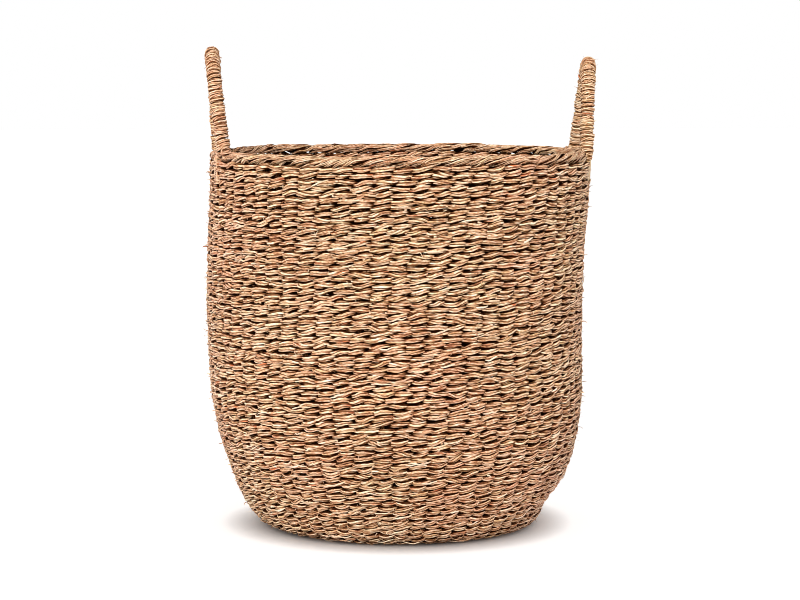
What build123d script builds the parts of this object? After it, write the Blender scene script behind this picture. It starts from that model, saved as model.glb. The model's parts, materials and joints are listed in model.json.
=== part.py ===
"""Seagrass storage basket: a twined round wall on bent cords, a plaited border, two wrapped handles.

Millimetres. Origin on the floor under the middle of the base, +Z up, handles towards -X and +X.
The front of the basket is its -Y side.
"""
from build123d import *
import os
from math import acos, asin, atan2, cos, degrees, hypot, pi, radians, sin

os.makedirs("parts", exist_ok=True)

# Wall: cord, then a strand on each side of it.
WALL = 11.0                 # thickness of the woven wall and base
RIB = 1.1                   # how far each twined row bulges from the wall's valleys

# Outline of the outside, from the flat underside to the rim.
BASE_FLAT_RADIUS = 124.0
HEEL_RADIUS = 26.0
TURN_UP = radians(57)       # slope of the wall where the heel ends and the belly starts
BELLY_RADIUS = 253.0
WEAVE_TOP = 363.0           # height of the last twined row
RIM_RADIUS = 189.5          # outside radius at the last row

# Twined rows, counted outwards from the middle of the base.
BASE_ROWS = 15
HEEL_ROWS = 10
SIDE_ROWS = 19              # in each of the three side bands

# Warp cords: each runs from rim to rim under the basket.
CORDS_EACH_WAY = 16
CORD_DIAMETER = 4.4
CORD_SPACING = 4.6          # where they lie side by side in the middle of the base
CROSSING_HALF = 38.0        # half the straight length across the middle
FAN_RADIUS = 78.0           # where the cords have fanned out to point at the axis
CORD_TOP = WEAVE_TOP + 3.0  # cord ends tucked up into the border

# Plaited border on top of the wall.
BORDER_WIDTH = 12.0         # of its flat underside
BORDER_HEIGHT = 9.0

# Handles: a cane bent over, bound with cord above the rim.
LEG_STEPS = 3               # handle legs stand this many cord steps from the middle of the side
CANE_DIAMETER = 7.0
WRAP_DIAMETER = 14.0
SEAT_CLEARANCE = 0.3
CROWN_RADIUS = 42.0         # centre line of the handle's top bend
HANDLE_REACH = 10.0         # how far the top leans out over the feet
LEFT_RISE = 103.0           # top of the handle above its seat, along the lean
RIGHT_RISE = 96.0
LEG_BOTTOM = 245.0          # how far down the legs are pushed into the wall

# Lashing strand over the border at each leg.
LASHING_WIDTH = 5.5
LASHING_THICKNESS = 2.0
LASHING_GAP = 0.3           # between the strand and the leg
LASHING_BOTTOM = 345.0
LASHING_TOP = 366.5

# Places worked out from the dimensions above.
HALF_WALL = WALL / 2
BELLY_X = BASE_FLAT_RADIUS + HEEL_RADIUS * sin(TURN_UP) - BELLY_RADIUS * sin(TURN_UP)
BELLY_Z = HEEL_RADIUS * (1 - cos(TURN_UP)) + BELLY_RADIUS * cos(TURN_UP)
BELLY_OUTSIDE = BELLY_X + BELLY_RADIUS
HEEL_LENGTH = (HEEL_RADIUS - HALF_WALL) * TURN_UP
BELLY_LENGTH = (BELLY_RADIUS - HALF_WALL) * (pi / 2 - TURN_UP)
STRAIGHT_LENGTH = WEAVE_TOP - BELLY_Z
ROWS_UP = HEEL_ROWS + 3 * SIDE_ROWS
ROW_PITCH = (HEEL_LENGTH + BELLY_LENGTH + STRAIGHT_LENGTH) / ROWS_UP
CORD_STEP = 2 * pi / (4 * CORDS_EACH_WAY)
BORDER_TOP = WEAVE_TOP + BORDER_HEIGHT
SEAT_HEIGHT = BORDER_TOP + 2.0
LEG_ANGLE = LEG_STEPS * CORD_STEP


def wall_middle(distance):
    """Middle of the wall at a distance along it from the edge of the flat base: radius, height, slope."""
    if distance <= 0:
        return BASE_FLAT_RADIUS + distance, HALF_WALL, 0.0
    if distance <= HEEL_LENGTH:
        slope = distance / (HEEL_RADIUS - HALF_WALL)
        inner = HEEL_RADIUS - HALF_WALL
        return BASE_FLAT_RADIUS + inner * sin(slope), HEEL_RADIUS - inner * cos(slope), slope
    distance -= HEEL_LENGTH
    if distance <= BELLY_LENGTH:
        slope = TURN_UP + distance / (BELLY_RADIUS - HALF_WALL)
        inner = BELLY_RADIUS - HALF_WALL
        return BELLY_X + inner * sin(slope), BELLY_Z - inner * cos(slope), slope
    height = BELLY_Z + distance - BELLY_LENGTH
    return side_radius(height), height, pi / 2


def side_radius(height):
    """Radius of the wall's middle on the nearly upright part, which opens slightly to the rim."""
    share = (height - BELLY_Z) / (WEAVE_TOP - BELLY_Z)
    return BELLY_OUTSIDE + share * (RIM_RADIUS - BELLY_OUTSIDE) - HALF_WALL


def wall_point(row, offset):
    """A point of the radial section: row counted from the edge of the base, offset outwards from the middle."""
    radius, height, slope = wall_middle(row * ROW_PITCH)
    return radius + offset * sin(slope), height - offset * cos(slope)


def ribbed_edge(first_row, last_row, side):
    """Arcs along one face of the wall, one per twined row, with a valley between rows."""
    edges = []
    for row in range(first_row, last_row):
        start = wall_point(row, side * (HALF_WALL - RIB))
        crest = wall_point(row + 0.5, side * HALF_WALL)
        end = wall_point(row + 1, side * (HALF_WALL - RIB))
        edges.append(ThreePointArc((start[0], 0, start[1]), (crest[0], 0, crest[1]), (end[0], 0, end[1])))
    return edges


def weave_band(first_row, last_row):
    """A run of twined rows as one ring-shaped solid, ribbed inside and outside."""
    outside = ribbed_edge(first_row, last_row, 1)
    inside = ribbed_edge(first_row, last_row, -1)
    bottom = Line(outside[0] @ 0, inside[0] @ 0)
    top = Line(outside[-1] @ 1, inside[-1] @ 1)
    return revolve(make_face(outside + [top] + inside + [bottom]), Axis.Z)


def base_weave():
    """Rows round the crossing of the cords: ribbed on top, flat underneath where the basket rests."""
    inside = ribbed_edge(-BASE_ROWS, 0, -1)
    inner_radius = (inside[0] @ 0).X
    heel_edge = wall_point(0, HALF_WALL - RIB)
    corners = [inside[0] @ 0, (inner_radius, 0, 0), (BASE_FLAT_RADIUS, 0, 0),
               (heel_edge[0], 0, heel_edge[1]), inside[-1] @ 1]
    outline = [Line(a, b) for a, b in zip(corners, corners[1:])]
    return revolve(make_face(inside + outline), Axis.Z)


def radial_point(angle, radius, height):
    return Vector(radius * cos(angle), radius * sin(angle), height)


def cord_half(angle, offset, layer_height):
    """Centre line of half a warp cord: down the wall, under the heel, fanning in to the crossing.

    The crossing runs along the direction of the given quarter, with the cord at an offset across it.
    """
    quarter = round(angle / (pi / 2)) * pi / 2
    along = Vector(cos(quarter), sin(quarter), 0)
    across = Vector(-sin(quarter), cos(quarter), 0)

    def on_wall(distance):
        radius, height, _ = wall_middle(distance)
        return radial_point(angle, radius, height)

    outwards = radial_point(angle, 1, 0)
    top = radial_point(angle, side_radius(CORD_TOP), CORD_TOP)
    fan_start = radial_point(angle, FAN_RADIUS, HALF_WALL)
    crossing_end = along * CROSSING_HALF + across * offset + Vector(0, 0, layer_height)
    belly_end = HEEL_LENGTH + BELLY_LENGTH
    return [
        Line(top, on_wall(belly_end)),
        ThreePointArc(on_wall(belly_end), on_wall(HEEL_LENGTH + BELLY_LENGTH / 2), on_wall(HEEL_LENGTH)),
        ThreePointArc(on_wall(HEEL_LENGTH), on_wall(HEEL_LENGTH / 2), on_wall(0)),
        Line(on_wall(0), fan_start),
        Spline(fan_start, crossing_end, tangents=[outwards * -1, along * -1]),
    ]


def warp_cord(index, first_quarter, layer_height):
    """One cord from rim to rim: index counts across the crossing."""
    place = index - (CORDS_EACH_WAY - 1) / 2
    offset = place * CORD_SPACING
    near = cord_half(first_quarter + place * CORD_STEP, offset, layer_height)
    far = cord_half(first_quarter + pi - place * CORD_STEP, -offset, layer_height)
    path = Wire(near + [Line(near[-1] @ 1, far[-1] @ 1)] + far)
    start = near[0]
    section = Plane(origin=start @ 0, z_dir=start % 0) * Circle(CORD_DIAMETER / 2)
    return sweep(section, path=path)


def warp_cords(first_quarter, layer_height):
    return Compound([warp_cord(i, first_quarter, layer_height) for i in range(CORDS_EACH_WAY)])


def leg_place(side, end, height):
    """Middle of the wall beside a handle leg. side: -1 left, 1 right. end: -1 front, 1 back."""
    radius = side_radius(height)
    return Vector(side * radius * cos(LEG_ANGLE), end * radius * sin(LEG_ANGLE), height)


def seats():
    """Round hollows in the border where the four ends of the handles rest."""
    ball = Sphere(WRAP_DIAMETER / 2 + SEAT_CLEARANCE)
    return [Pos(leg_place(side, end, SEAT_HEIGHT)) * ball for side in (-1, 1) for end in (-1, 1)]


def border_braid():
    """The plaited edge as one round rope resting flat on the wall, with the handle seats hollowed out."""
    middle = side_radius(WEAVE_TOP)
    inner = (middle - BORDER_WIDTH / 2, 0, WEAVE_TOP)
    outer = (middle + BORDER_WIDTH / 2, 0, WEAVE_TOP)
    section = make_face([Line(inner, outer), ThreePointArc(outer, (middle, 0, BORDER_TOP), inner)])
    rope = revolve(section, Axis.Z)
    for seat in seats():
        rope -= seat
    return rope


def handle_leg(side, end):
    """Straight end of the handle's cane, pushed down inside the wall beside a warp cord."""
    top = leg_place(side, end, SEAT_HEIGHT)
    bottom = leg_place(side, end, LEG_BOTTOM)
    rod = sweep(Plane(origin=bottom, z_dir=top - bottom) * Circle(CANE_DIAMETER / 2), path=Line(bottom, top))
    for seat in seats():
        rod -= seat
    return rod


def handle_loop(side, rise):
    """Centre line of the handle above the rim: two straight legs tangent to the crown's bend."""
    foot = leg_place(side, 1, SEAT_HEIGHT)
    crown = rise - WRAP_DIAMETER / 2
    bend_middle = crown - CROWN_RADIUS
    # The straight leg touches the bend this far round from the level line through the bend's middle.
    touch = acos(CROWN_RADIUS / hypot(foot.Y, bend_middle)) - atan2(bend_middle, foot.Y)
    touch_y = CROWN_RADIUS * cos(touch)
    touch_up = bend_middle + CROWN_RADIUS * sin(touch)
    lean = asin(HANDLE_REACH / crown)
    across_up = [(-foot.Y, 0), (-touch_y, touch_up), (0, crown), (touch_y, touch_up), (foot.Y, 0)]
    points = [Vector(foot.X + side * up * sin(lean), across, SEAT_HEIGHT + up * cos(lean))
              for across, up in across_up]
    return [Line(*points[0:2]), ThreePointArc(*points[1:4]), Line(*points[3:5])]


def round_bar(edges, diameter):
    start = edges[0]
    return sweep(Plane(origin=start @ 0, z_dir=start % 0) * Circle(diameter / 2), path=Wire(edges))


def handle_core(side, rise):
    """The bent cane above the rim."""
    return round_bar(handle_loop(side, rise), CANE_DIAMETER)


def handle_wrap(side, rise):
    """The cord wound round the cane, taken as one sleeve with rounded ends that sit in the seats."""
    edges = handle_loop(side, rise)
    ball = Sphere(WRAP_DIAMETER / 2)
    sleeve = round_bar(edges, WRAP_DIAMETER) + Pos(edges[0] @ 0) * ball + Pos(edges[-1] @ 1) * ball
    return sleeve - handle_core(side, rise)


def lashing(side, end):
    """A flat strand down the outside of the border, through the wall and up the inside, beside a leg."""
    middle = side_radius((LASHING_BOTTOM + LASHING_TOP) / 2)
    height = LASHING_TOP - LASHING_BOTTOM
    reach = WALL + 2 * LASHING_THICKNESS
    outer = Pos(0, 0, height / 2) * Box(reach, LASHING_WIDTH, height)
    hollow = Pos(0, 0, height / 2 + LASHING_THICKNESS) * Box(WALL, LASHING_WIDTH, height)
    beside_leg = LEG_ANGLE - (CANE_DIAMETER / 2 + LASHING_GAP + LASHING_WIDTH / 2) / middle
    angle = beside_leg * end if side > 0 else pi - beside_leg * end
    return Rot(0, 0, degrees(angle)) * Pos(middle, 0, LASHING_BOTTOM) * (outer - hollow)


def save(shape, node):
    export_step(shape, f"parts/{node}.step")


save(base_weave(), "base_weave")
save(weave_band(0, HEEL_ROWS), "heel_weave")
for number, name in enumerate(("lower", "middle", "upper")):
    first = HEEL_ROWS + number * SIDE_ROWS
    save(weave_band(first, first + SIDE_ROWS), f"{name}_side_weave")

LOWER_LAYER = HALF_WALL - CORD_DIAMETER / 2 - 0.1
UPPER_LAYER = HALF_WALL + CORD_DIAMETER / 2 + 0.1
save(warp_cords(0, LOWER_LAYER), "crosswise_cords")
save(warp_cords(pi / 2, UPPER_LAYER), "lengthwise_cords")
save(border_braid(), "border_braid")

for side_name, side, rise in (("left", -1, LEFT_RISE), ("right", 1, RIGHT_RISE)):
    save(handle_core(side, rise), f"{side_name}_handle_core")
    save(handle_wrap(side, rise), f"{side_name}_handle_wrap")
    for end_name, end in (("front", -1), ("back", 1)):
        save(handle_leg(side, end), f"{side_name}_{end_name}_leg")
        save(lashing(side, end), f"{side_name}_{end_name}_lashing")
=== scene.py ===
"""Looks of a twined seagrass basket, in metres: every strand is a mesh, laid round the wall of the frame."""
import json
import math

import bpy
import numpy as np
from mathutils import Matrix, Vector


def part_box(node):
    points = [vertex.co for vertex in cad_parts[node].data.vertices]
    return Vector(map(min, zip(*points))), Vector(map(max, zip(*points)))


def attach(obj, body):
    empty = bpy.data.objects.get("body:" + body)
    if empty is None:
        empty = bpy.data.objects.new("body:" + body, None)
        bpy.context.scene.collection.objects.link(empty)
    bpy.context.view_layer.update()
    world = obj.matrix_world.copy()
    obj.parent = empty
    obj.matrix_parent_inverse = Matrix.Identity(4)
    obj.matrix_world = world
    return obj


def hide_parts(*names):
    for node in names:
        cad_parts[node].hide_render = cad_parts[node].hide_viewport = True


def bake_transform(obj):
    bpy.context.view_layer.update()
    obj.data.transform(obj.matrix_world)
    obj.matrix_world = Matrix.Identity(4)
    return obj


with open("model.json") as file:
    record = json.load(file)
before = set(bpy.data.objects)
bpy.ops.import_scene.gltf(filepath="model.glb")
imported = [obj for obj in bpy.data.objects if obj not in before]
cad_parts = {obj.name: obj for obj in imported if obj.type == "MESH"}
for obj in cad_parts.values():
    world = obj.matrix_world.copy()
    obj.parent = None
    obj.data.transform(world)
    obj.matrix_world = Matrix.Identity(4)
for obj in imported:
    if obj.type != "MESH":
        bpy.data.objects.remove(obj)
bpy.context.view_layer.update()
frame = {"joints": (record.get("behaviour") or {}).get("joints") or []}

SEED = 11
MM = 0.001

# Section of the wall, as the frame has it.
BASE_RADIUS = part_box("base_weave")[1].x
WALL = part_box("base_weave")[1].z
WEAVE_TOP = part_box("border_braid")[0].z
BORDER_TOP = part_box("border_braid")[1].z
RIM_RADIUS = (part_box("border_braid")[1].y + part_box("upper_side_weave")[1].y) / 2 - WALL / 2
HEEL_RADIUS = 26 * MM - WALL / 2
BELLY_RADIUS = 253 * MM - WALL / 2
TURN_UP = math.radians(57)
HEEL_LENGTH = HEEL_RADIUS * TURN_UP
BELLY_LENGTH = BELLY_RADIUS * (math.pi / 2 - TURN_UP)
BELLY_TOP = WALL / 2 + HEEL_RADIUS * (1 - math.cos(TURN_UP)) + BELLY_RADIUS * math.cos(TURN_UP)
BELLY_SIDE = BASE_RADIUS + HEEL_RADIUS * math.sin(TURN_UP) + BELLY_RADIUS * (1 - math.sin(TURN_UP))
FLARE = (RIM_RADIUS - BELLY_SIDE) / (WEAVE_TOP - BELLY_TOP)

# Rows of twining and the cords they are laid round.
BASE_ROWS = 15
SIDE_ROWS = 67
ROW_PITCH = (HEEL_LENGTH + BELLY_LENGTH + WEAVE_TOP - BELLY_TOP) / SIDE_ROWS
STAKES = 64
STEP = 2 * math.pi / STAKES
PAIRED_ROWS = 7                 # the innermost rows go round two cords at a time
STEADY_ROWS = 6                 # over this many innermost rows the rows start to rise and fall
SQUARENESS = 0.10               # how square the innermost rows are, round the crossing of the cords
FIRST_LIFTED_ROW = 58           # from here on the rows are pushed up against the border
LIFTED_ROWS = 8
TOP_LIFT = 2.4 * MM
RINGS_PER_STAKE = 8
STAKE_RADIUS = 2.2 * MM

# A strand of the weave: a bundle of blades, flat where it lies on a cord and thicker where two strands cross.
BLADES = 6
BLADE_POINTS = 3                # points across one blade: the groove beside it, its ridge, its far side
BLADE_EDGE = np.tile([0.78, 1.06, 0.98], BLADES)
# painted shade: dark in the groove beside each blade, a little on its far side
BLADE_GROOVE_SHADE = np.tile([0.72, 0.0, 0.08], BLADES)
FLATNESS = 0.86                 # below 1 a section is squarer than an ellipse
PAD_OUT = 1.6 * MM
PAD_ACROSS = 2.9 * MM
END_ACROSS = 2.2 * MM
CROSSING_OUT = 2.7 * MM
CROSSING_ACROSS = 2.75 * MM
PAD_OFFSET = STAKE_RADIUS + PAD_OUT
PAD_TOP = PAD_OFFSET + PAD_OUT
PAD_SLANT = 1.0 * MM
GRAIN_RADIUS = 4 * MM           # the grain of every strand is read on a circle of this size
FLOOR_GAP = 0.2 * MM            # nothing goes lower than this
FLANK_START = 0.42 * MM         # below a strand's top by this much painted shade starts on its flank
FLANK_FADE = 0.5 * MM
SUNK_START = 1.3 * MM           # the same below the surface of the wall
SUNK_FADE = 1.3 * MM
PAD_LENGTH = 0.38               # the smaller, the longer a strand lies flat before it crosses over
TWISTS = 4                      # turns of a strand about itself on one round of the basket
CROWD_SHIFT = 1.4 * MM          # a handle leg inside the wall pushes the strands out by this much
ROUND_SECTION = np.ones(12)
THIN_SECTION = np.ones(6)
HAIR_SECTION = np.ones(4)

# Handles.
HANDLE_RADIUS = 7 * MM
WOUND_PITCH = 3.7 * MM
WOUND_OUT = 1.95 * MM
WOUND_ACROSS = 2.1 * MM
POINTS_PER_TURN = 22
CANE_RADIUS = 3.5 * MM
LEG_RADIUS = 3.4 * MM
CROWN_RADIUS = 42 * MM
BURIED = 16 * MM                # a handle goes on below its foot by this much, inside the wall
ROOT_STRANDS = 8
LEG_ANGLE = 3 * STEP
LEG_BOTTOM = 0.245              # height of the lower ends of the legs
# How far a handle is turned, as a slope, and how far it is bent sideways: each at the foot and at the crown.
HANDLE_SKEW = {"left": (0.06, -0.01), "right": (0.03, 0.11)}
HANDLE_SPREAD = {"left": (-2.0 * MM, -0.3 * MM), "right": (5.4 * MM, 2.6 * MM)}
CROWN_DROP = {"left": 0.0, "right": 2.2 * MM}           # how much lower the crown is than the frame has it

# Loose ends.
STRAY_BLADES = 700
CURLS = 560
BODY_HAIRS = 1300
HANDLE_HAIRS = 130


def wall_middle(distance):
    """Middle of the wall at a distance along it from the edge of the base: radius, height, slope."""
    distance = np.asarray(distance, float)
    heel_turn = np.clip(distance / HEEL_RADIUS, 0, TURN_UP)
    belly_turn = TURN_UP + np.clip((distance - HEEL_LENGTH) / BELLY_RADIUS, 0, math.pi / 2 - TURN_UP)
    straight = np.maximum(distance - HEEL_LENGTH - BELLY_LENGTH, 0)
    radius = (BASE_RADIUS + np.minimum(distance, 0) + HEEL_RADIUS * np.sin(heel_turn)
              + BELLY_RADIUS * (np.sin(belly_turn) - math.sin(TURN_UP)) + straight * FLARE)
    height = (WALL / 2 + HEEL_RADIUS * (1 - np.cos(heel_turn))
              + BELLY_RADIUS * (math.cos(TURN_UP) - np.cos(belly_turn)) + straight)
    return radius, height, np.where(distance <= HEEL_LENGTH, heel_turn, belly_turn)


def near(value, centre, width):
    """1 at the centre, falling smoothly to 0 over about twice the width."""
    return np.exp(-((value - centre) / width) ** 2)


def angle_gap(theta, centre):
    """Angle from the centre, between -pi and pi."""
    return (theta - centre + math.pi) % (2 * math.pi) - math.pi


# Dents of the wall: how far out in mm, angle round the basket, half its width as an angle, its height up the
# wall and half its own height in metres.
DENTS = ((-6.0, -0.1, 0.45, 0.024, 0.016), (0.8, -0.05, 0.5, 0.058, 0.022), (3.0, 3.2, 0.6, 0.025, 0.030),
         (-1.8, 0.1, 0.5, 0.275, 0.045))
# How the wall is out of round: how far in mm, lobes, start, height up the wall, half its own height.
LOBES = ((1.0, 2, 0.7, 0.24, 0.09), (0.8, 3, 2.1, 0.13, 0.07))
SAG = -5.4 * MM                 # the middle of the wall stands to the left of the rim by this much
SETTLED_TOP = 0.30              # above this height the wall comes back to where the frame has it


def settle(points):
    """The unevenness of hand work, for any point of the body: the wall bows to the left, with soft dents."""
    x, y, z = points[..., 0], points[..., 1], points[..., 2]
    theta = np.arctan2(y, x)
    radius = np.hypot(x, y)
    upper = np.clip(1 - np.maximum(z - SETTLED_TOP, 0) / 0.06, 0, 1)
    sag = SAG * near(z, 0.21, 0.10)
    dents = 0
    for depth, angle, wide, height, tall in DENTS:
        dents = dents + depth * MM * near(angle_gap(theta, angle), 0, wide) * near(z, height, tall)
    for depth, count, start, height, tall in LOBES:
        dents = dents + depth * MM * np.cos(count * theta + start) * near(z, height, tall)
    dents *= np.clip(radius / 0.1 - 0.5, 0, 1)
    moved = points.copy()
    moved[..., 0] += upper * (sag * np.clip(z / 0.05, 0, 1) + dents * np.cos(theta))
    moved[..., 1] += upper * dents * np.sin(theta)
    moved[..., 2] = np.maximum(moved[..., 2], 0)
    return moved


def ripple(rng, knots, turn):
    """A smooth random value round a ring, with that many knots; turn runs from 0 to 1."""
    values = rng.standard_normal(knots)
    place = turn * knots
    low = np.floor(place).astype(int)
    share = place - low
    share = share * share * (3 - 2 * share)
    return values[low % knots] * (1 - share) + values[(low + 1) % knots] * share


def unit(vectors):
    """The vectors with length 1."""
    return vectors / np.maximum(np.linalg.norm(vectors, axis=-1, keepdims=True), 1e-12)


class Bundle:
    """Strands gathered into one mesh, with what the materials need to know about each point."""

    def __init__(self):
        self.points, self.faces, self.tones, self.grains, self.painted_shades = [], [], [], [], []
        self.count = 0

    def strand(self, centre, outward, out, across, roll, tones, closed=False, painted_shade=0.0,
               edge=BLADE_EDGE, groove_shade=BLADE_GROOVE_SHADE, offset=None, surface=None, crumple=0.0):
        """A strand along the centre line. out and across are its half sizes, roll its twist and tones its
        colours. edge gives the outline of its section, and the groove shade argument the painted shade on
        each point of that, deepest in the groove beside each blade.
        offset is how far it lies from the middle of the wall: painted shade darkens its flanks, where the
        rows beside it would shade them, and what lies well below the surface of the wall.
        The painted shade argument darkens the whole strand, and crumple is how far each point is moved at
        random."""
        n, sides = len(centre), len(edge)
        ahead = np.roll(centre, -1, 0) - np.roll(centre, 1, 0) if closed else np.gradient(centre, axis=0)
        along = unit(ahead)
        outward = unit(outward - np.sum(outward * along, 1, keepdims=True) * along)
        sideways = np.cross(along, outward)
        around = np.arange(sides) * 2 * math.pi / sides
        angle = around[None] + np.broadcast_to(roll, n)[:, None]
        cos, sin = np.cos(angle), np.sin(angle)
        out = np.broadcast_to(out, n)[:, None] * edge * np.sign(cos) * np.abs(cos) ** FLATNESS
        across = np.broadcast_to(across, n)[:, None] * edge * np.sign(sin) * np.abs(sin) ** FLATNESS
        ring = centre[:, None] + outward[:, None] * out[..., None] + sideways[:, None] * across[..., None]
        ring += crumple * np.random.default_rng(self.count).standard_normal(ring.shape)
        ring[..., 2] = np.maximum(ring[..., 2], FLOOR_GAP)
        first = self.count + np.arange(n if closed else n - 1)[:, None] * sides
        after = self.count + ((np.arange(n if closed else n - 1) + 1) % n)[:, None] * sides
        j = np.arange(sides)
        k = (j + 1) % sides
        self.faces.append(np.stack([first + j, first + k, after + k, after + j], -1).reshape(-1, 4))
        if not closed:
            fan = np.arange(1, sides // 2)
            for start, step in ((self.count + (n - 1) * sides, 1), (self.count, -1)):
                corner = np.stack([start + fan - 1, start + fan, start + (sides - 1 - fan),
                                   start + (sides - fan) % sides], -1)
                self.faces.append(corner[:, ::step])
        self.points.append(ring.reshape(-1, 3))
        length = np.concatenate([[0], np.cumsum(np.linalg.norm(np.diff(centre, axis=0), axis=1))])
        grain = np.stack(np.broadcast_arrays(
            length[:, None] + 0.37 * (self.count % 97), GRAIN_RADIUS * np.cos(around),
            GRAIN_RADIUS * np.sin(around)), -1)
        self.grains.append(grain.reshape(-1, 3))
        self.tones.append(np.broadcast_to(tones, (n, sides)).reshape(-1))
        # painted shade: in the grooves, over the whole strand, on the flanks where the rows beside it would
        # shade them, and deep below the surface of the wall
        shade = groove_shade + np.broadcast_to(painted_shade, n)[:, None]
        if offset is not None:
            top = np.abs(offset)[:, None] + np.max(np.abs(out), axis=1, keepdims=True)
            depth = top - np.abs(offset[:, None] + out)
            shade = shade + np.clip((depth - FLANK_START) / FLANK_FADE, 0, 1)
            if surface is not None:
                sunk = surface - np.abs(offset[:, None] + out)
                shade = shade + np.clip((sunk - SUNK_START) / SUNK_FADE, 0, 1)
        self.painted_shades.append(np.clip(shade, 0, 1).reshape(-1))
        self.count += n * sides

    def piece(self, name, material, slot):
        """The mesh object, smooth shaded."""
        points = np.concatenate(self.points)
        faces = np.concatenate(self.faces)
        mesh = bpy.data.meshes.new(name)
        mesh.vertices.add(len(points))
        mesh.vertices.foreach_set("co", points.astype(np.float32).ravel())
        mesh.loops.add(faces.size)
        mesh.loops.foreach_set("vertex_index", faces.astype(np.int32).ravel())
        mesh.polygons.add(len(faces))
        mesh.polygons.foreach_set("loop_start", np.arange(0, faces.size, 4, dtype=np.int32))
        mesh.update(calc_edges=True)
        mesh.polygons.foreach_set("use_smooth", np.ones(len(faces), bool))
        for label, values in (("tone", self.tones), ("painted_shade", self.painted_shades)):
            layer = mesh.attributes.new(label, "FLOAT", "POINT")
            layer.data.foreach_set("value", np.concatenate(values).astype(np.float32))
        layer = mesh.attributes.new("grain", "FLOAT_VECTOR", "POINT")
        layer.data.foreach_set("vector", np.concatenate(self.grains).astype(np.float32).ravel())
        made = bpy.data.objects.new(name, mesh)
        bpy.context.scene.collection.objects.link(made)
        mesh.materials.append(material)
        return made


def blade_tones(rng, turn, patch=200, spread=0.09):
    """A colour place from 0 to 1 for each blade along a strand, changing slowly with a little patchiness."""
    columns = []
    shared = 0.52 + 0.03 * ripple(rng, 9, turn)
    for _ in range(BLADES):
        columns.append(shared + 0.05 * ripple(rng, 9, turn) + spread * ripple(rng, patch, turn))
    tones = np.repeat(np.stack(columns, 1), BLADE_POINTS, axis=1)
    return np.clip(tones, 0.02, 0.98)


# Waves of the rows: how many round the basket, size in mm, drift with distance up the wall, start.
WAVES = ((2, 0.5, 9, 0.3), (3, 0.5, -14, 1.9), (5, 0.35, 21, 4.0), (9, 0.3, -33, 0.9), (14, 0.25, 47, 2.6),
         (23, 0.28, 90, 1.1), (31, 0.22, -140, 3.3), (46, 0.16, -190, 5.0))


def wander(theta, distance):
    """Slow rise and fall of the rows, nearly the same for neighbours."""
    return MM * sum(size * np.cos(count * theta + drift * distance + start)
                    for count, size, drift, start in WAVES)


def leg_crowding(theta, height):
    """1 beside a handle leg inside the wall, 0 away from it."""
    legs = [LEG_ANGLE, -LEG_ANGLE, math.pi - LEG_ANGLE, math.pi + LEG_ANGLE]
    crowd = sum(near(angle_gap(theta, leg), 0, 0.45 * STEP) for leg in legs)
    return crowd * np.clip((height - LEG_BOTTOM) / (10 * MM), 0, 1)


def twined_row(bundle, row):
    """Two strands round the basket, in turn outside and inside the cords, crossing between them."""
    rng = np.random.default_rng([SEED, row + BASE_ROWS])
    paired = row < PAIRED_ROWS - BASE_ROWS
    stakes = STAKES // 2 if paired else STAKES
    turn = np.arange(STAKES * RINGS_PER_STAKE) / (STAKES * RINGS_PER_STAKE)
    theta = turn * 2 * math.pi
    steadiness = np.clip((row + BASE_ROWS) / STEADY_ROWS, 0, 1)
    distance = (row + 0.5) * ROW_PITCH + wander(theta, row * ROW_PITCH) * steadiness
    lift = TOP_LIFT * np.clip((row - FIRST_LIFTED_ROW) / LIFTED_ROWS, 0, 1)
    distance = distance + 0.20 * MM * ripple(rng, 48, turn) + lift
    radius, height, slope = wall_middle(distance)
    square = SQUARENESS * np.clip((PAIRED_ROWS - BASE_ROWS - row) / PAIRED_ROWS, 0, 1)
    radius = radius * (1 - square * np.cos(4 * theta))
    outward = np.stack([np.sin(slope) * np.cos(theta), np.sin(slope) * np.sin(theta), -np.cos(slope)], 1)
    upward = np.stack([np.cos(slope) * np.cos(theta), np.cos(slope) * np.sin(theta), np.sin(slope)], 1)
    middle = np.stack([radius * np.cos(theta), radius * np.sin(theta), height], 1)
    crowd = leg_crowding(theta, height)
    phase = turn * stakes - 0.5 - 0.27 * crowd + rng.uniform(-0.18, 0.18) + 0.10 * ripple(rng, stakes, turn)
    for ply in (0, 1):
        lay = math.pi * (phase + ply)
        face = np.cos(lay)
        pad = np.abs(face) ** PAD_LENGTH
        fullness = 0.36 * MM * ripple(rng, STAKES, turn) + 0.18 * MM * ripple(rng, 300, turn)
        offset = np.sign(face) * pad * (PAD_OFFSET + CROWD_SHIFT * crowd + fullness)
        rise = PAD_SLANT * (1 + 0.5 * ripple(rng, STAKES, turn)) * np.sin(lay)
        rise += 0.42 * MM * ripple(rng, 128, turn)
        centre = middle + outward * offset[:, None] + upward * rise[:, None]
        size = 1 + 0.10 * ripple(rng, STAKES, turn) + 0.08 * ripple(rng, 230, turn)
        out = (CROSSING_OUT + (PAD_OUT - CROSSING_OUT) * pad) * (1 + 0.12 * ripple(rng, 200, turn))
        across = (END_ACROSS + (PAD_ACROSS - END_ACROSS) * np.abs(face)
                  + (CROSSING_ACROSS - END_ACROSS) * near(face, 0, 0.2)) * size
        roll = rng.uniform(0, 6.28) + turn * 2 * math.pi * TWISTS + 0.6 * ripple(rng, 60, turn)
        tones = blade_tones(rng, turn)
        # painted shade on the strand's flanks and where it sinks below the pads of the wall
        bundle.strand(settle(centre), outward, out, across, roll, tones, closed=True, offset=offset,
                      surface=PAD_TOP, crumple=0.12 * MM)


# Materials -----------------------------------------------------------------

def srgb(red, green, blue):
    """Linear colour from the usual 0 to 255 values."""
    linear = [((v / 255 + 0.055) / 1.055) ** 2.4 if v > 10 else v / 3294 for v in (red, green, blue)]
    return (*linear, 1)


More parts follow.
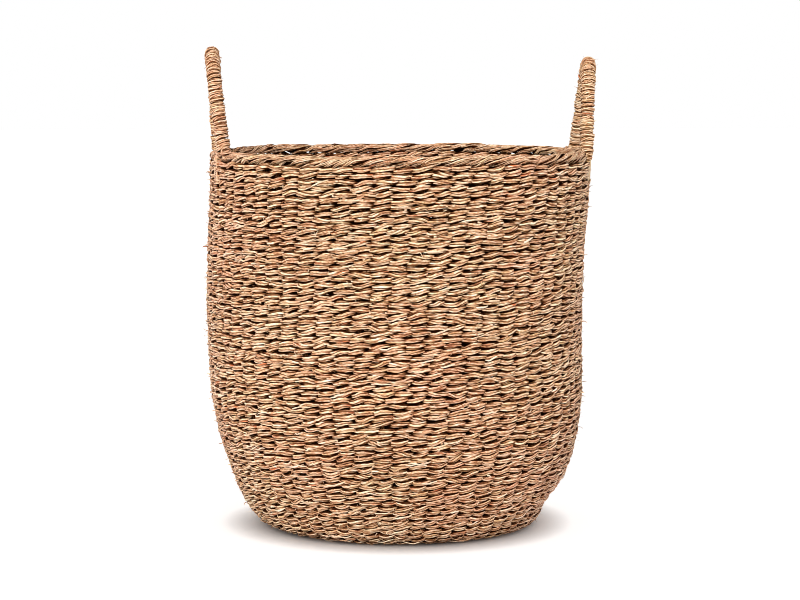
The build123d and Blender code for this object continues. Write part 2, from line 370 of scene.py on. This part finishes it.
class Nodes:
    """Short way to make and join shader nodes."""

    def __init__(self, name):
        self.material = bpy.data.materials.new(name)
        self.material.use_nodes = True
        self.tree = self.material.node_tree
        self.shader = self.tree.nodes["Principled BSDF"]

    def make(self, kind, inputs=None, **settings):
        node = self.tree.nodes.new(kind)
        for key, value in settings.items():
            setattr(node, key, value)
        for key, value in (inputs or {}).items():
            self.put(node.inputs[key], value)
        return node

    def put(self, socket, value):
        if isinstance(value, bpy.types.NodeSocket):
            self.tree.links.new(value, socket)
        else:
            socket.default_value = value

    def math(self, operation, a, b=0.0):
        node = self.make("ShaderNodeMath", operation=operation)
        self.put(node.inputs[0], a)
        self.put(node.inputs[1], b)
        return node.outputs[0]

    def attribute(self, name):
        return self.make("ShaderNodeAttribute", attribute_name=name)

    def ramp(self, value, stops):
        node = self.make("ShaderNodeValToRGB", {0: value})
        elements = node.color_ramp.elements
        while len(elements) < len(stops):
            elements.new(0.5)
        for element, (place, colour) in zip(elements, stops):
            element.position = place
            element.color = colour
        return node.outputs[0]

    def mix(self, share, a, b, blend="MIX"):
        node = self.make("ShaderNodeMix", data_type="RGBA", blend_type=blend)
        self.put(node.inputs[0], share)
        self.put(node.inputs[6], a)
        self.put(node.inputs[7], b)
        return node.outputs[2]

    def stretched_noise(self, vector, scale, detail, roughness=0.5):
        stretched = self.make("ShaderNodeVectorMath", {0: vector, 1: scale}, operation="MULTIPLY").outputs[0]
        return self.make("ShaderNodeTexNoise", {"Vector": stretched, "Scale": 1.0, "Detail": detail,
                                                "Roughness": roughness}).outputs[0]


STRAW = ((0.0, srgb(90, 36, 12)), (0.14, srgb(138, 84, 46)), (0.3, srgb(190, 142, 106)),
         (0.55, srgb(222, 191, 166)), (0.76, srgb(242, 228, 214)), (1.0, srgb(250, 245, 239)))
# colour that painted shade is mixed toward
PAINTED_SHADE_COLOUR = srgb(30, 6, 1)
AMBER = srgb(222, 182, 138)     # half-shaded blades are warmer, from light that has bounced off the others
STREAK_SCALE = (200, 1400, 1400)        # along the strand, then across it, per metre
FLECK_SCALE = (500, 1000, 1000)
DYE_SCALE = (45, 260, 260)
LINE_SCALE = (70, 2600, 2600)
CANE_SCALE = (900, 900, 30)             # in x, y and z
REGION_SCALE = 9.0
ROUGHNESS = 0.38
# the fullest share of painted shade
DARKEST = 0.98


def seagrass(name, tint=(1, 1, 1, 1), shade_strength=0.97):
    """Dried seagrass: blades from brown to straw, with grain along the strand, flecks, and painted shade in
    its hollows and creases. The shade strength argument is how dark that painted shade gets."""
    n = Nodes(name)
    grain = n.attribute("grain").outputs["Vector"]
    tone = n.attribute("tone").outputs["Fac"]
    painted_shade = n.attribute("painted_shade").outputs["Fac"]
    place = n.make("ShaderNodeTexCoord").outputs["Object"]
    streak = n.stretched_noise(grain, STREAK_SCALE, 3.0, 0.65)
    fleck = n.stretched_noise(grain, FLECK_SCALE, 2.0)
    region = n.stretched_noise(place, (REGION_SCALE,) * 3, 2.0)
    dye = n.stretched_noise(grain, DYE_SCALE, 1.0)
    shifted = n.math("ADD", tone, n.math("MULTIPLY", n.math("SUBTRACT", streak, 0.5), 2.0))
    shifted = n.math("ADD", shifted, n.math("MULTIPLY", n.math("SUBTRACT", fleck, 0.5), 0.9))
    colour = n.ramp(shifted, STRAW)
    warm = n.ramp(region, ((0.35, srgb(252, 247, 232)), (0.5, srgb(255, 244, 230)),
                           (0.65, srgb(255, 238, 226))))
    colour = n.mix(1.0, colour, warm, "MULTIPLY")
    hue = n.ramp(dye, ((0.28, srgb(246, 246, 222)), (0.5, srgb(255, 250, 244)), (0.68, srgb(255, 244, 238)),
                       (0.76, srgb(236, 160, 112))))
    colour = n.mix(1.0, colour, hue, "MULTIPLY")
    colour = n.mix(1.0, colour, tint, "MULTIPLY")
    # thin dark lines along the blades: painted shade in the fine creases between fibres
    line = n.stretched_noise(grain, LINE_SCALE, 1.0)
    line = n.math("MULTIPLY", n.math("MAXIMUM", n.math("SUBTRACT", 0.45, line), 0.0), 3.5)
    # the painted shade from the mesh and the thin lines are mixed toward a dark brown
    shade = n.math("MULTIPLY", n.math("POWER", painted_shade, 1.3), shade_strength)
    dark = n.math("MINIMUM", n.math("ADD", shade, line), DARKEST)
    warmth = n.math("MINIMUM", n.math("MULTIPLY", n.math("POWER", dark, 2), 2.5), 1.0)
    colour = n.mix(warmth, colour, AMBER, "MULTIPLY")
    colour = n.mix(dark, colour, PAINTED_SHADE_COLOUR)
    n.put(n.shader.inputs["Base Color"], colour)
    n.put(n.shader.inputs["Roughness"], n.math("ADD", n.math("MULTIPLY", streak, 0.3), ROUGHNESS))
    n.put(n.shader.inputs["Specular IOR Level"], n.math("MULTIPLY", n.math("SUBTRACT", 1.0, dark), 0.35))
    bump = n.make("ShaderNodeBump", {"Height": streak, "Strength": 0.9, "Distance": 0.0007})
    n.put(n.shader.inputs["Normal"], bump.outputs[0])
    return n.material


def cane(name):
    """Peeled cane: smooth, with fine upright grain."""
    n = Nodes(name)
    place = n.make("ShaderNodeTexCoord").outputs["Object"]
    fine = n.stretched_noise(place, CANE_SCALE, 3.0)
    colour = n.ramp(fine, ((0.3, srgb(150, 105, 62)), (0.55, srgb(196, 150, 98)), (0.8, srgb(218, 178, 124))))
    n.put(n.shader.inputs["Base Color"], colour)
    n.put(n.shader.inputs["Roughness"], n.math("ADD", n.math("MULTIPLY", fine, 0.3), 0.4))
    bump = n.make("ShaderNodeBump", {"Height": fine, "Strength": 0.3, "Distance": 0.0004})
    n.put(n.shader.inputs["Normal"], bump.outputs[0])
    return n.material


weave_material = seagrass("twined seagrass")
border_material = seagrass("plaited seagrass", tint=(0.97, 0.95, 0.93, 1))
cord_material = seagrass("seagrass cord", tint=(0.86, 0.84, 0.80, 1))
wound_material = seagrass("wound cord", tint=(1.0, 1.0, 0.98, 1), shade_strength=0.8)
lashing_material = seagrass("lashing strand", tint=(1.0, 0.97, 0.9, 1), shade_strength=0.5)
cane_material = cane("peeled cane")


# Body of the basket --------------------------------------------------------

# Part of the body, its first row, the row after its last, and how many rows go into one piece.
BANDS = (("base", -BASE_ROWS, 0, 5), ("heel", 0, 10, 5), ("lower_side", 10, 29, 4),
         ("middle_side", 29, 48, 4), ("upper_side", 48, SIDE_ROWS, 4))


def weave_pieces():
    """The rows of twining, a few to each piece."""
    for band, first, last, size in BANDS:
        for number, start in enumerate(range(first, last, size), 1):
            bundle = Bundle()
            for row in range(start, min(start + size, last)):
                twined_row(bundle, row)
            made = bundle.piece(f"{band}_rows_{number}", weave_material, "twined_seagrass")
            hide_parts(f"{band}_weave")
            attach(made, "basket")


CORDS_EACH_WAY = STAKES // 4
CORD_SPACING = 4.6 * MM
CROSSING_HALF = 38 * MM
FAN_RADIUS = 78 * MM


def cord_half(angle, quarter, offset, layer):
    """Half a warp cord: down the wall, under the heel, fanning in to the crossing."""
    rim = HEEL_LENGTH + BELLY_LENGTH + WEAVE_TOP + 3 * MM - BELLY_TOP
    distance = np.linspace(rim, FAN_RADIUS - BASE_RADIUS, 120)
    radius, height, _ = wall_middle(distance)
    wall = np.stack([radius * math.cos(angle), radius * math.sin(angle), height], 1)
    along = np.array([math.cos(quarter), math.sin(quarter), 0])
    across = np.array([-math.sin(quarter), math.cos(quarter), 0])
    inner = along * CROSSING_HALF + across * offset + np.array([0, 0, layer])
    start, inwards = wall[-1], -np.array([math.cos(angle), math.sin(angle), 0])
    reach = np.linalg.norm(inner - start)
    t = np.linspace(0, 1, 16)[1:, None]
    fan = ((2 * t**3 - 3 * t**2 + 1) * start + (t**3 - 2 * t**2 + t) * reach * inwards
           + (3 * t**2 - 2 * t**3) * inner + (t**3 - t**2) * reach * -along)
    return np.concatenate([wall, fan])


def warp_cords(name, node, quarter, layer):
    """The cords that lie one way across the base and turn up to be the uprights of the wall."""
    bundle = Bundle()
    rng = np.random.default_rng([SEED, 500 + int(quarter)])
    for index in range(CORDS_EACH_WAY):
        place = index - (CORDS_EACH_WAY - 1) / 2
        opposite = quarter + math.pi
        near_half = cord_half(quarter + place * STEP, quarter, place * CORD_SPACING, layer)
        far_half = cord_half(opposite - place * STEP, opposite, -place * CORD_SPACING, layer)
        t = np.linspace(0, 1, 14)[1:-1, None]
        across = near_half[-1] * (1 - t) + far_half[-1] * t
        path = np.concatenate([near_half, across, far_half[::-1]])
        turn = np.linspace(0, 1, len(path))
        outward = np.stack([path[:, 0], path[:, 1], 0 * turn], 1)
        flat = np.hypot(path[:, 0], path[:, 1]) < BASE_RADIUS
        outward[flat] = (0, 0, 1)
        roll = turn * 2 * math.pi * 40
        sizes = STAKE_RADIUS * (1 + 0.06 * ripple(rng, 40, turn))
        # painted shade on the cords beyond the fan, where the weave covers them
        under_weave_shade = 0.8 * np.clip((np.hypot(path[:, 0], path[:, 1]) - FAN_RADIUS) / (10 * MM), 0, 1)
        bundle.strand(settle(path), outward, sizes, sizes, roll, blade_tones(rng, turn, 12), painted_shade=under_weave_shade)
    made = bundle.piece(name, cord_material, "seagrass_cord")
    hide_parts(node)
    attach(made, "basket")


BORDER_REACH = 5.2              # each border strand passes this many cords
BORDER_EACH = 2                 # strands for every cord
BORDER_OUT = 1.25 * MM          # half sizes of a strand
BORDER_ACROSS = 1.8 * MM
BORDER_SWING = 3.7              # mm that a strand goes out and in on its way over the border
BORDER_CLIMB = 2.9              # mm that it goes up and down


def border():
    """The rolled border: strands climb outwards, go over the top and come down inside, five cords on."""
    bundle = Bundle()
    rng = np.random.default_rng([SEED, 900])
    ring_height = (WEAVE_TOP + BORDER_TOP) / 2 + 3.0 * MM
    t = np.linspace(0, 1, 34)
    for stake in np.arange(0, STAKES, 1 / BORDER_EACH):
        theta = (stake + rng.uniform(-0.12, 0.12) + (BORDER_REACH + rng.uniform(-0.9, 0.9)) * t) * STEP
        lay = -math.pi / 2 + 2 * math.pi * t
        lift = 0.5 * MM * np.cos(5 * theta + 1.0) + 0.4 * MM * np.cos(11 * theta)
        lay = lay + 0.28 * ripple(rng, 7, t * 0.9)
        swing = BORDER_SWING + 0.55 * rng.standard_normal() + 0.45 * ripple(rng, 9, t * 0.9)
        offset = swing * MM * np.cos(lay)
        height = ring_height + lift + (BORDER_CLIMB + 0.45 * rng.standard_normal()) * MM * np.sin(lay)
        height = height - 4.0 * MM * near(t, 0, 0.10) - 2.5 * MM * near(t, 1, 0.06)
        radius = RIM_RADIUS + offset
        centre = np.stack([radius * np.cos(theta), radius * np.sin(theta), height], 1)
        outward = np.stack([np.cos(lay) * np.cos(theta), np.cos(lay) * np.sin(theta), np.sin(lay)], 1)
        ends = np.clip(np.minimum(t, 1 - t) / 0.08, 0.25, 1)
        out = BORDER_OUT * ends * (1 + 0.18 * ripple(rng, 12, t * 0.9))
        across = BORDER_ACROSS * ends * (1 + 0.2 * ripple(rng, 12, t * 0.9))
        roll = rng.uniform(0, 6.28) + 2.5 * t + 0.5 * ripple(rng, 9, t * 0.9)
        # painted shade on the flanks of each strand
        bundle.strand(centre, outward, out, across, roll, blade_tones(rng, t * 0.3, 12),
                      offset=np.full(len(t), 2.0 * MM), crumple=0.12 * MM)
    made = bundle.piece("border_strands", border_material, "plaited_seagrass")
    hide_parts("border_braid")
    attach(made, "basket")


# Handles -------------------------------------------------------------------

def handle_hinge(side_name):
    """Where the frame has the hinge of a handle, midway between its feet."""
    handle = f"{side_name}_handle"
    return np.array(next(joint["pos_m"] for joint in frame["joints"] if joint["child"] == handle))


def handle_path(side_name):
    """Centre line of a handle and the way it faces: foot, straight leg, round crown, straight leg, foot."""
    low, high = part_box(f"{side_name}_handle_wrap")
    foot = handle_hinge(side_name)
    side = 1 if foot[0] > 0 else -1
    foot_y = high.y - HANDLE_RADIUS
    crown_x = high.x - HANDLE_RADIUS if side > 0 else low.x + HANDLE_RADIUS
    crown = np.array([crown_x, 0, high.z - HANDLE_RADIUS])
    up = unit(crown - foot)
    rise = np.linalg.norm(crown - foot) - CROWN_DROP[side_name]
    middle = rise - CROWN_RADIUS
    touch = math.acos(CROWN_RADIUS / math.hypot(foot_y, middle)) - math.atan2(middle, foot_y)
    touch_y, touch_up = CROWN_RADIUS * math.cos(touch), middle + CROWN_RADIUS * math.sin(touch)
    bend = np.linspace(touch, math.pi - touch, 60)
    across = np.concatenate([[foot_y] * 6, np.linspace(foot_y, touch_y, 30)[1:],
                             CROWN_RADIUS * np.cos(bend[1:]),
                             np.linspace(-touch_y, -foot_y, 30)[1:], [-foot_y] * 5])
    upwards = np.concatenate([np.linspace(-BURIED, 0, 6), np.linspace(0, touch_up, 30)[1:],
                              middle + CROWN_RADIUS * np.sin(bend[1:]),
                              np.linspace(touch_up, 0, 30)[1:], np.linspace(0, -BURIED, 6)[1:]])
    points = foot + np.outer(np.maximum(upwards, 0), up) + np.outer(np.minimum(upwards, 0), [0, 0, 1])
    points[:, 1] = across
    share = np.clip(upwards / rise, 0, 1)
    free = np.clip(1 + upwards / (10 * MM), 0, 1)
    low_skew, high_skew = HANDLE_SKEW[side_name]
    low_bend, high_bend = HANDLE_SPREAD[side_name]
    points[:, 0] += free * side * across * (low_skew + (high_skew - low_skew) * share)
    points[:, 0] += free * (low_bend + (high_bend - low_bend) * share)
    facing = np.cross(up, [0, 1, 0]) * -side
    return points, unit(facing)


def even_steps(points, count):
    """The same line at evenly spaced points."""
    length = np.concatenate([[0], np.cumsum(np.linalg.norm(np.diff(points, axis=0), axis=1))])
    wanted = np.linspace(0, length[-1], count)
    return np.stack([np.interp(wanted, length, points[:, i]) for i in range(3)], 1)


def bend_at_foot(piece):
    """Bakes the placing of the piece into its mesh; nothing is bent."""
    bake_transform(piece)


def cane_core(side_name):
    """The cane inside a handle."""
    points, facing = handle_path(side_name)
    core = Bundle()
    core.strand(points, facing, CANE_RADIUS, CANE_RADIUS, 0.0, 0.5, edge=ROUND_SECTION, groove_shade=0 * ROUND_SECTION)
    made = core.piece(f"{side_name}_cane_core", cane_material, "cane")
    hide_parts(f"{side_name}_handle_core")
    bend_at_foot(made)


def wound_cord(side_name, seed):
    """Cord wound tightly round the cane, turn beside turn."""
    rng = np.random.default_rng([SEED, seed])
    points, facing = handle_path(side_name)
    line = even_steps(points, 400)
    span = np.sum(np.linalg.norm(np.diff(line, axis=0), axis=1))
    turns = int(span / WOUND_PITCH)
    count = turns * POINTS_PER_TURN
    line = even_steps(line, count)
    share = np.linspace(0, 1, count)
    part = share * 0.999        # a ripple closes on itself at 1
    along = unit(np.gradient(line, axis=0))
    edge = np.cross(along, facing)
    angle = share * turns * 2 * math.pi + 0.5 * ripple(rng, 30, share * 0.99)
    direction = facing * np.cos(angle)[:, None] + edge * np.sin(angle)[:, None]
    out = WOUND_OUT * (1 + 0.09 * ripple(rng, turns * 2, part))
    across = WOUND_ACROSS * (1 + 0.10 * ripple(rng, turns * 2, part))
    reach = HANDLE_RADIUS - 1.9 * MM + 0.28 * MM * ripple(rng, turns * 2, part)
    slip = 0.35 * MM * ripple(rng, turns, part)
    centre = line + direction * reach[:, None] + along * slip[:, None]
    out = out * (1 + 0.10 * ripple(rng, turns * 6, part))
    roll = 5 * ripple(rng, turns // 3, part) + 0.5 * ripple(rng, turns * 5, part)
    tones = blade_tones(rng, share * 0.99, turns * 2)
    bundle = Bundle()
    # painted shade on the flanks of each turn, in the gaps between turns
    bundle.strand(centre, direction, out, across, roll, tones, offset=reach, crumple=0.10 * MM)
    chosen = rng.integers(60, count - 60, HANDLE_HAIRS)
    hairs(bundle, rng, centre[chosen] + direction[chosen] * 1.4 * MM, direction[chosen], 4 * MM)
    for foot in (line[0], line[-1]):
        root_strands(bundle, rng, foot)
    made = bundle.piece(f"{side_name}_wound_cord", wound_material, "wound_cord")
    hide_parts(f"{side_name}_handle_wrap")
    bend_at_foot(made)


def root_strands(bundle, rng, foot):
    """Strands that come off the foot of a handle and fan out over the border on both sides of it."""
    t = np.linspace(0, 1, 16)
    theta = math.atan2(foot[1], foot[0])
    for number in range(ROOT_STRANDS):
        way = 1 if number % 2 else -1
        angle = theta + way * (rng.uniform(0.5, 1.5) * t * STEP + 3 * MM / RIM_RADIUS)
        height = BORDER_TOP + rng.uniform(2, 8) * MM * (1 - t) ** 2 - rng.uniform(0, 9) * MM * t
        reach = math.hypot(foot[0], foot[1]) * (1 - t) + (RIM_RADIUS + rng.uniform(-2, 5) * MM) * t
        reach = reach + (1.5 * np.sin(math.pi * t) + 0.5 * ripple(rng, 5, t * 0.9)) * MM
        centre = np.stack([reach * np.cos(angle), reach * np.sin(angle), height], 1)
        outward = np.stack([np.cos(angle), np.sin(angle), 0.4 + 0 * t], 1)
        ends = np.clip(np.minimum(t, 1 - t) / 0.1, 0.3, 1)
        # painted shade on the flanks of each strand
        bundle.strand(centre, outward, 1.2 * MM * ends, 1.7 * MM * ends, rng.uniform(0, 6.28) + 3 * t,
                      blade_tones(rng, t * 0.3, 12), offset=np.zeros(len(t)), crumple=0.1 * MM)


def inserted_leg(side_name, end_name):
    """The cane leg of a handle, pushed down into the wall."""
    node = f"{side_name}_{end_name}_leg"
    low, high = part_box(node)
    middle = (low + high) / 2
    bottom = HEEL_LENGTH + BELLY_LENGTH + low.z - BELLY_TOP
    distance = np.linspace(bottom, bottom + high.z - low.z + 2 * MM, 40)
    radius, height, _ = wall_middle(distance)
    theta = math.atan2(middle.y, middle.x)
    path = settle(np.stack([radius * math.cos(theta), radius * math.sin(theta), height], 1))
    outward = np.tile([math.cos(theta), math.sin(theta), 0], (len(path), 1))
    bundle = Bundle()
    bundle.strand(path, outward, LEG_RADIUS, LEG_RADIUS, 0.0, 0.5, edge=ROUND_SECTION, groove_shade=0 * ROUND_SECTION)
    made = bundle.piece(f"{side_name}_{end_name}_cane_leg", cane_material, "cane")
    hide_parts(node)
    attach(made, "basket")


def lashing(side_name, end_name, seed):
    """Strands over the border at a handle leg, down the outside, through the wall and up the inside."""
    node = f"{side_name}_{end_name}_lashing"
    low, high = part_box(node)
    rng = np.random.default_rng([SEED, seed])
    middle = (low + high) / 2
    theta = math.atan2(middle.y, middle.x)
    outer, inner = 5.0 * MM, -6.0 * MM
    # Over the border, down the outside, through the wall and up the inside: how far out, and how high.
    section = [(1.5 * MM, high.z + 4 * MM), (5.5 * MM, high.z + 3 * MM), (outer + 0.5 * MM, high.z - 1 * MM),
               (outer, high.z - 8 * MM), (outer - 0.3 * MM, low.z + 6 * MM), (4.5 * MM, low.z + 1 * MM),
               (0, low.z), (-4.5 * MM, low.z + 1 * MM), (inner, low.z + 7 * MM), (inner, high.z - 6 * MM),
               (-5 * MM, high.z + 1 * MM), (-1.5 * MM, high.z + 3 * MM)]
    section = np.array(section)
    t = np.linspace(0, 1, 60)
    knots = np.linspace(0, 1, len(section))
    offset = np.interp(t, knots, section[:, 0])
    height = np.interp(t, knots, section[:, 1])
    smooth = np.array([1, 2, 3, 2, 1]) / 9
    offset[2:-2] = np.convolve(offset, smooth, "valid")
    height[2:-2] = np.convolve(height, smooth, "valid")
    bundle = Bundle()
    for blade in (-1.5, -0.5, 0.5, 1.5):
        shift = 2.9 * MM * blade + 1.3 * MM * np.sin(t * math.pi * 1.2) + 0.5 * MM * ripple(rng, 6, t * 0.9)
        reach = RIM_RADIUS + offset * (1 + 0.04 * blade)
        angle = theta + shift / RIM_RADIUS
        centre = np.stack([reach * np.cos(angle), reach * np.sin(angle), height + 0.4 * MM * blade], 1)
        lean = np.gradient(np.stack([offset, height], 1), axis=0)
        outward = np.stack([-lean[:, 1] * np.cos(angle), -lean[:, 1] * np.sin(angle), lean[:, 0]], 1)
        tones = rng.uniform(0.05, 0.3) + blade_tones(rng, t * 0.3, 12)
        # painted shade on the flanks of each strand
        bundle.strand(centre, unit(outward), 0.9 * MM, 1.6 * MM * (1 + 0.2 * ripple(rng, 9, t * 0.9)),
                      rng.uniform(0, 6), np.clip(tones, 0, 1), offset=np.full(len(t), 2 * MM))
    made = bundle.piece(f"{side_name}_{end_name}_lashing_strand", lashing_material, "lashing_strand")
    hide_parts(node)
    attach(made, "basket")


def wall_place(theta, distance):
    """A point on the middle of the wall with its outward and sideways directions."""
    radius, height, slope = (float(v) for v in wall_middle(distance))
    lean = math.sin(slope)
    outward = np.array([lean * math.cos(theta), lean * math.sin(theta), -math.cos(slope)])
    sideways = np.array([-math.sin(theta), math.cos(theta), 0])
    return np.array([radius * math.cos(theta), radius * math.sin(theta), height]), outward, sideways


def stray_blades(bundle, rng, count):
    """Single blades that have worked loose and lie over one or two cords."""
    t = np.linspace(-1, 1, 11)
    for _ in range(count):
        theta, distance = rng.uniform(0, 2 * math.pi), rng.uniform(-4, 66) * ROW_PITCH
        place, outward, sideways = wall_place(theta, distance)
        upward = np.cross(outward, sideways)
        half = rng.uniform(5, 13) * MM
        level = (5.9 - rng.uniform(2.0, 3.2) * t**2 + 0.3 * ripple(rng, 5, (t + 1) * 0.4)) * MM
        climb = rng.uniform(0.02, 0.32) * half * t + 0.5 * MM * ripple(rng, 5, (t + 1) * 0.4)
        turn = half * t / np.hypot(place[0], place[1])
        cos, sin = np.cos(turn)[:, None], np.sin(turn)[:, None]
        line = place + outward * level[:, None] + upward * climb[:, None]
        flat = line.copy()
        line[:, :1] = flat[:, :1] * cos - flat[:, 1:2] * sin
        line[:, 1:2] = flat[:, :1] * sin + flat[:, 1:2] * cos
        wide = rng.uniform(0.5, 1.0) * MM * np.sqrt(1.05 - t**2)
        bundle.strand(settle(line), np.tile(outward, (len(t), 1)), 0.35 * MM, wide, rng.uniform(-0.3, 0.3),
                      rng.uniform(0.35, 0.95), edge=THIN_SECTION, groove_shade=0 * THIN_SECTION)


def curls(bundle, rng, count):
    """Broken blade ends that stand out and curl over."""
    t = np.linspace(0, 1, 8)
    for _ in range(count):
        theta, distance = rng.uniform(0, 2 * math.pi), rng.uniform(2, 66) * ROW_PITCH
        place, outward, sideways = wall_place(theta, distance)
        along = unit(sideways * rng.choice((-1, 1)) + np.cross(outward, sideways) * rng.normal(0, 0.5))
        radius = rng.uniform(1.3, 3.0) * MM
        sweep = t * rng.uniform(1.5, 3.6)
        line = (place + outward * (4.8 * MM + radius * (1 - np.cos(sweep)))[:, None]
                + along * (radius * np.sin(sweep))[:, None])
        wide = rng.uniform(0.4, 1.1) * MM * (1.15 - t)
        bundle.strand(settle(line), np.tile(np.cross(along, outward), (len(t), 1)), wide, 0.25 * MM, 0.0,
                      rng.uniform(0.2, 0.8), edge=THIN_SECTION, groove_shade=0 * THIN_SECTION)


def hairs(bundle, rng, roots, outwards, longest):
    """Fine fibres standing off the strands."""
    t = np.linspace(0, 1, 6)[:, None]
    for root, outward in zip(roots, outwards):
        direction = unit(outward * rng.uniform(0.2, 0.9) + unit(rng.standard_normal(3)) * 0.8)
        bend = unit(rng.standard_normal(3)) * rng.uniform(0, 0.5)
        length = rng.uniform(1.5 * MM, longest)
        line = root + direction * t * length + bend * length * t**2
        thick = rng.uniform(0.10, 0.22) * MM * (1.1 - t[:, 0] * 0.7)
        facing = unit(rng.standard_normal(3))
        bundle.strand(line, np.tile(facing, (len(t), 1)), thick, thick * rng.choice((1, 1, 3)), 0.0,
                      rng.uniform(0.3, 0.9), edge=HAIR_SECTION, groove_shade=0 * HAIR_SECTION)


def loose_ends():
    """Stray blades, curled ends and fibres all over the outside."""
    rng = np.random.default_rng([SEED, 77])
    bundle = Bundle()
    stray_blades(bundle, rng, STRAY_BLADES)
    curls(bundle, rng, CURLS)
    places = [wall_place(rng.uniform(0, 2 * math.pi), rng.uniform(2, 66) * ROW_PITCH)
              for _ in range(BODY_HAIRS)]
    outwards = np.array([place[1] for place in places])
    roots = settle(np.array([place[0] for place in places]) + outwards * 4.6 * MM)
    hairs(bundle, rng, roots, outwards, 6 * MM)
    made = bundle.piece("loose_ends", weave_material, "twined_seagrass")
    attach(made, "basket")


weave_pieces()
warp_cords("crosswise_warp_cords", "crosswise_cords", 0.0, WALL / 2 - STAKE_RADIUS - 0.1 * MM)
warp_cords("lengthwise_warp_cords", "lengthwise_cords", math.pi / 2, WALL / 2 + STAKE_RADIUS + 0.1 * MM)
border()
for number, side in enumerate(("left", "right")):
    wound_cord(side, 600 + number)
    cane_core(side)
    for count, end in enumerate(("front", "back")):
        inserted_leg(side, end)
        lashing(side, end, 700 + 2 * number + count)
loose_ends()


# Stage ---------------------------------------------------------------------

AMBIENT = 0.42
FLOOR_SIZE = 30
FLOOR_GLOW = 0.72
CONTACT_SHADE = 0.035                   # the floor's glow is dimmed within this distance of the basket: a painted contact shadow
LENS = 108                              # mm, on a sensor 36 mm wide
CAMERA_DISTANCE = 2.4
CAMERA_HEIGHT = 0.4575
CAMERA_TURN = math.radians(3.8)
CAMERA_TILT = math.radians(5.56)
SUNS = {"key": ((-0.28, -1.0, 0.62), 3.9, 9), "left_fill": ((-1.0, -0.35, 0.5), 1.5, 40),
        "right_fill": ((1.0, -0.35, 0.5), 1.6, 40)}              # where from, energy, angle in degrees


def studio():
    """A pale floor that glows softly, with a painted contact shadow round the basket, a white surround, and
    three suns that light only the basket.
    """
    bpy.ops.mesh.primitive_plane_add(size=FLOOR_SIZE)
    floor = bpy.context.object
    floor.name = "floor"
    n = Nodes("pale floor")
    n.put(n.shader.inputs["Base Color"], (0.9, 0.9, 0.9, 1))
    n.put(n.shader.inputs["Roughness"], 0.9)
    # painted contact shadow: the glow fades where the basket is close
    contact_shadow = n.make("ShaderNodeAmbientOcclusion", {"Distance": CONTACT_SHADE}, samples=8).outputs["AO"]
    n.put(n.shader.inputs["Emission Color"], (1, 1, 1, 1))
    glow = n.math("MULTIPLY", n.math("POWER", contact_shadow, 1.3), FLOOR_GLOW)
    n.put(n.shader.inputs["Emission Strength"], glow)
    floor.data.materials.append(n.material)
    world = bpy.data.worlds.new("studio")
    bpy.context.scene.world = world
    world.use_nodes = True
    tree = world.node_tree
    path = tree.nodes.new("ShaderNodeLightPath")
    strength = tree.nodes.new("ShaderNodeMath")
    strength.operation = "MULTIPLY_ADD"
    strength.inputs[1].default_value = 1 - AMBIENT
    strength.inputs[2].default_value = AMBIENT
    tree.links.new(path.outputs["Is Camera Ray"], strength.inputs[0])
    tree.links.new(strength.outputs[0], tree.nodes["Background"].inputs[1])
    tree.nodes["Background"].inputs[0].default_value = (1, 1, 1, 1)
    for name, (toward, energy, angle) in SUNS.items():
        lamp = bpy.data.lights.new(name, "SUN")
        lamp.energy = energy
        lamp.angle = math.radians(angle)
        thing = bpy.data.objects.new(name, lamp)
        bpy.context.scene.collection.objects.link(thing)
        thing.rotation_euler = Vector(toward).to_track_quat("Z", "Y").to_euler()
        unlit = bpy.data.collections.new(f"not lit by {name}")
        unlit.objects.link(floor)
        thing.light_linking.receiver_collection = unlit
        unlit.collection_objects[0].light_linking.link_state = "EXCLUDE"
    bpy.context.scene.view_settings.view_transform = "Standard"
    bpy.context.scene.cycles.filter_width = 0.9


def camera():
    """From the front and a little left, just above the rim, with a long lens."""
    data = bpy.data.cameras.new("camera")
    data.sensor_width = 36
    data.lens = LENS
    thing = bpy.data.objects.new("camera", data)
    bpy.context.scene.collection.objects.link(thing)
    thing.location = (-CAMERA_DISTANCE * math.sin(CAMERA_TURN), -CAMERA_DISTANCE * math.cos(CAMERA_TURN),
                      CAMERA_HEIGHT)
    thing.rotation_euler = (math.pi / 2 - CAMERA_TILT, 0, -CAMERA_TURN)
    bpy.context.scene.camera = thing


studio()
camera()
